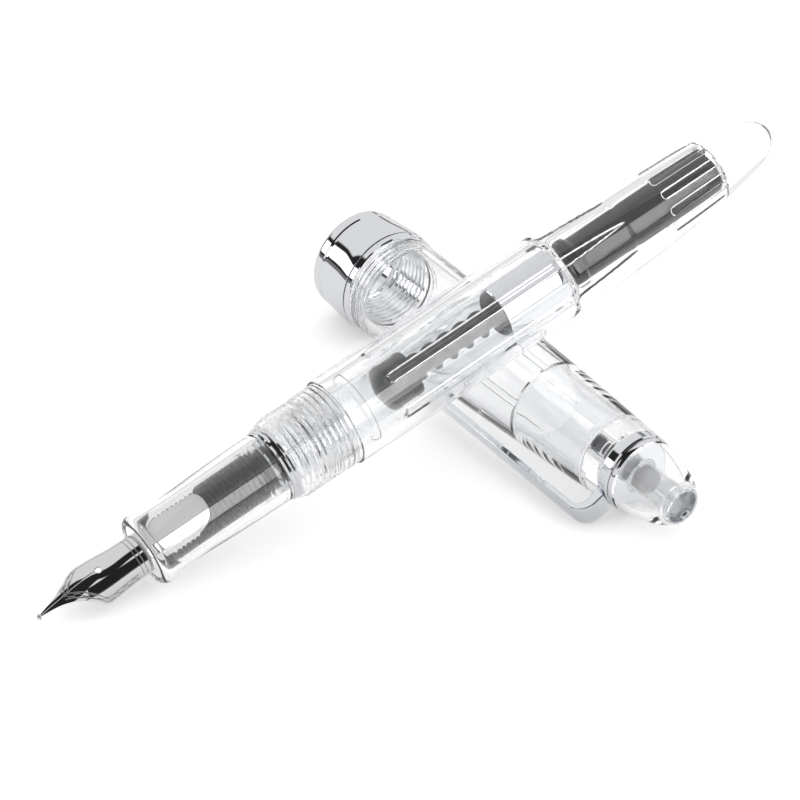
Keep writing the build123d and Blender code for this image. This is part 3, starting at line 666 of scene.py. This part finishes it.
def along(direction):
    node = sky.nodes.new("ShaderNodeVectorMath")
    node.operation = "DOT_PRODUCT"
    sky.links.new(heading, node.inputs[0])
    node.inputs[1].default_value = Vector(direction).normalized()
    return node.outputs["Value"]


def inside(source, low, high, blur):
    """1 between low and high, 0 outside, with soft edges."""
    parts = []
    for edge, sign in ((low, 1), (high, -1)):
        node = sky.nodes.new("ShaderNodeMapRange")
        node.interpolation_type = "SMOOTHSTEP"
        sky.links.new(source, node.inputs["Value"])
        node.inputs["From Min"].default_value = edge - blur
        node.inputs["From Max"].default_value = edge + blur
        node.inputs["To Min"].default_value = 0.0 if sign > 0 else 1.0
        node.inputs["To Max"].default_value = 1.0 if sign > 0 else 0.0
        parts.append(node.outputs["Result"])
    return math_node(sky, "MULTIPLY", *parts)


def patch(centre, half_angle_across, half_angle_up, blur=0.02):
    """1 in a window of the sky about a direction."""
    c = Vector(centre).normalized()
    across = Vector((0, 0, 1)).cross(c).normalized()
    up_ = c.cross(across)
    w, h = math.sin(math.radians(half_angle_across)), math.sin(math.radians(half_angle_up))
    box = math_node(sky, "MULTIPLY", inside(along(across), -w, w, blur), inside(along(up_), -h, h, blur))
    return math_node(sky, "MULTIPLY", box, math_node(sky, "GREATER_THAN", along(c), 0.0))


def blend(low, high, factor):
    gap = math_node(sky, "SUBTRACT", high, low)
    return math_node(sky, "ADD", math_node(sky, "MULTIPLY", gap, factor), low)


path = sky.nodes.new("ShaderNodeLightPath")
in_the_open = math_node(sky, "LESS_THAN", path.outputs["Transmission Depth"], 0.5)
through_glass = math_node(sky, "GREATER_THAN", path.outputs["Transmission Depth"], 0.5)
unreflected = math_node(sky, "LESS_THAN", path.outputs["Glossy Depth"], 0.5)

overhead = math_node(sky, "MULTIPLY", inside(along((0.162, 0.973, 0.161)), -0.18, 0.16, 0.03),
                     inside(along((0, 0, 1)), 0.05, 2.0, 0.03))
gap_above = math_node(sky, "MULTIPLY", overhead, in_the_open)
gap_left = patch((-0.93, 0.1, 0.25), 26, 18)
window_left = patch((-0.93, 0.12, 0.305), 12, 9)
gap_front = math_node(sky, "MULTIPLY", patch((-0.25, -0.55, 0.8), 28, 25), in_the_open)
gap_right = patch((0.69, -0.6, 0.388), 24, 26)
window_right = math_node(sky, "MULTIPLY", patch((0.72, -0.57, 0.40), 13, 23), through_glass)
skyline = inside(along((0, 0, 1)), -0.02, 0.08, 0.02)
level = blend(TENT, GAP, gap_above)
level = blend(level, GAP, gap_left)
level = blend(level, LEFT_WINDOW, window_left)
level = blend(level, GAP, gap_front)
level = blend(level, GAP, gap_right)
level = blend(level, RIGHT_WINDOW, window_right)
level = blend(level, blend(HORIZON, HORIZON_IN_GLASS, through_glass), skyline)
level = blend(level, BACKDROP, unreflected)
sky.links.new(level, back.inputs["Strength"])
back.inputs["Color"].default_value = (1, 1, 1, 1)

CAMERA_AT = (-0.003044, -0.339618, 0.244)
CAMERA_RIGHT = (0.99998, 0.00387, 0.00557)
CAMERA_FORWARD = (0.0, 0.82115, -0.570794)
camera_data = bpy.data.cameras.new("camera")
camera_data.lens = 135.0
camera_data.sensor_width = 36.0
camera_data.clip_start = 0.01
camera = bpy.data.objects.new("camera", camera_data)
forward = Vector(CAMERA_FORWARD).normalized()
right = (Vector(CAMERA_RIGHT) - forward * Vector(CAMERA_RIGHT).dot(forward)).normalized()
up = right.cross(forward)
camera.matrix_world = Matrix.Translation(CAMERA_AT) @ Matrix((right, up, -forward)).transposed().to_4x4()
scene.collection.objects.link(camera)
scene.camera = camera

scene.view_settings.view_transform = "Standard"
scene.cycles.max_bounces = 40
scene.cycles.transmission_bounces = 36
scene.cycles.glossy_bounces = 12
scene.cycles.diffuse_bounces = 4
scene.cycles.transparent_max_bounces = 48
scene.cycles.caustics_refractive = True
scene.cycles.caustics_reflective = False
scene.cycles.sample_clamp_indirect = 4.0
